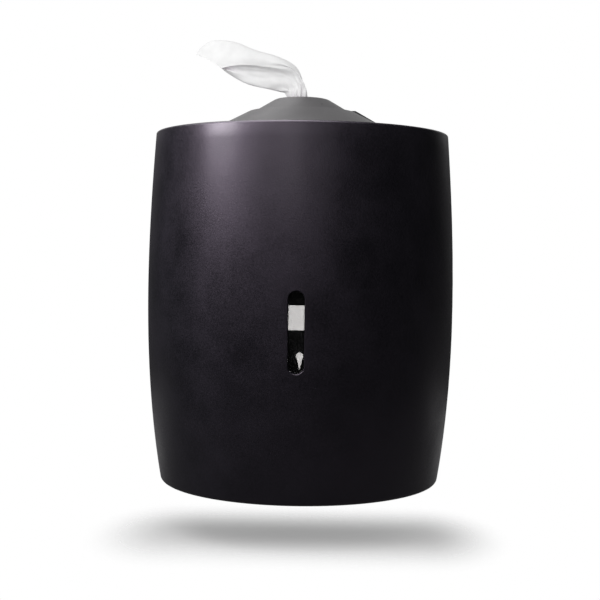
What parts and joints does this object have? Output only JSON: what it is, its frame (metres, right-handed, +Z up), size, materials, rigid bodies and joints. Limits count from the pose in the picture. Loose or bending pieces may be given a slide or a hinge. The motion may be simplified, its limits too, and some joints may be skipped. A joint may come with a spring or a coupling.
{
  "type": "wall-mounted wipes dispenser",
  "caption": "Wall-mounted centre-pull wipes dispenser: a barrel-shaped hinged cover with a sight slot, a bucket and roll inside, and a cone nozzle on top with a wipe pulled through.",
  "frame": {"origin": "centre of the rectangle of wall screws, on the wall's face", "axes": "+Z up, +Y into the wall, the front faces -Y, +X to the right of someone in front of it"},
  "size_m": [0.294, 0.2202, 0.4213],
  "materials": {
    "housing_black": "fine-grained satin",
    "cover_black": "fine-grained satin",
    "nozzle_grey": "satin",
    "bucket_dark": "satin",
    "lens_clear": "clear, polished",
    "rubber_dark": "matt",
    "screw_steel": "zinc plated",
    "lock_chrome": "polished",
    "wipe_white": "soft non-woven"
  },
  "bodies": {
    "frame": {"back_housing": "housing_black", "support_shelf": "housing_black", "shelf_screws": "screw_steel", "bucket_pads": "rubber_dark", "inner_bucket": "bucket_dark", "wipes_roll": "wipe_white", "wipe_tail": "wipe_white", "top_bracket": "housing_black", "bracket_screws": "screw_steel", "nozzle_base": "nozzle_grey", "nozzle_base_screws": "screw_steel", "lock_striker": "screw_steel", "striker_screws": "screw_steel", "hinge_pins": "screw_steel"},
    "cover": {"front_cover": "cover_black", "window_lens": "lens_clear", "lens_retainer": "housing_black", "retainer_screws": "screw_steel", "lock_barrel": "lock_chrome", "lock_nut": "lock_chrome"},
    "lock": {"lock_plug": "lock_chrome", "lock_cam": "screw_steel", "cam_screw": "screw_steel"},
    "cap": {"nozzle_cap": "nozzle_grey", "nozzle_diaphragm": "rubber_dark", "diaphragm_retainer": "nozzle_grey", "diaphragm_screws": "screw_steel"}
  },
  "joints": [
    {"name": "cover_hinge", "type": "hinge", "parent": "frame", "child": "cover", "pos_m": [0, -0.018, -0.158], "axis": [1, 0, 0], "range_deg": [0, 90]},
    {"name": "lock_turn", "type": "hinge", "parent": "cover", "child": "lock", "pos_m": [0.1145, -0.044, 0.168], "axis": [0, 0, 1], "range_deg": [0, 90]},
    {"name": "cap_turn", "type": "hinge", "parent": "frame", "child": "cap", "pos_m": [0, -0.104, 0.18], "axis": [0, 0, 1], "range_deg": [0, 40]}
  ]
}
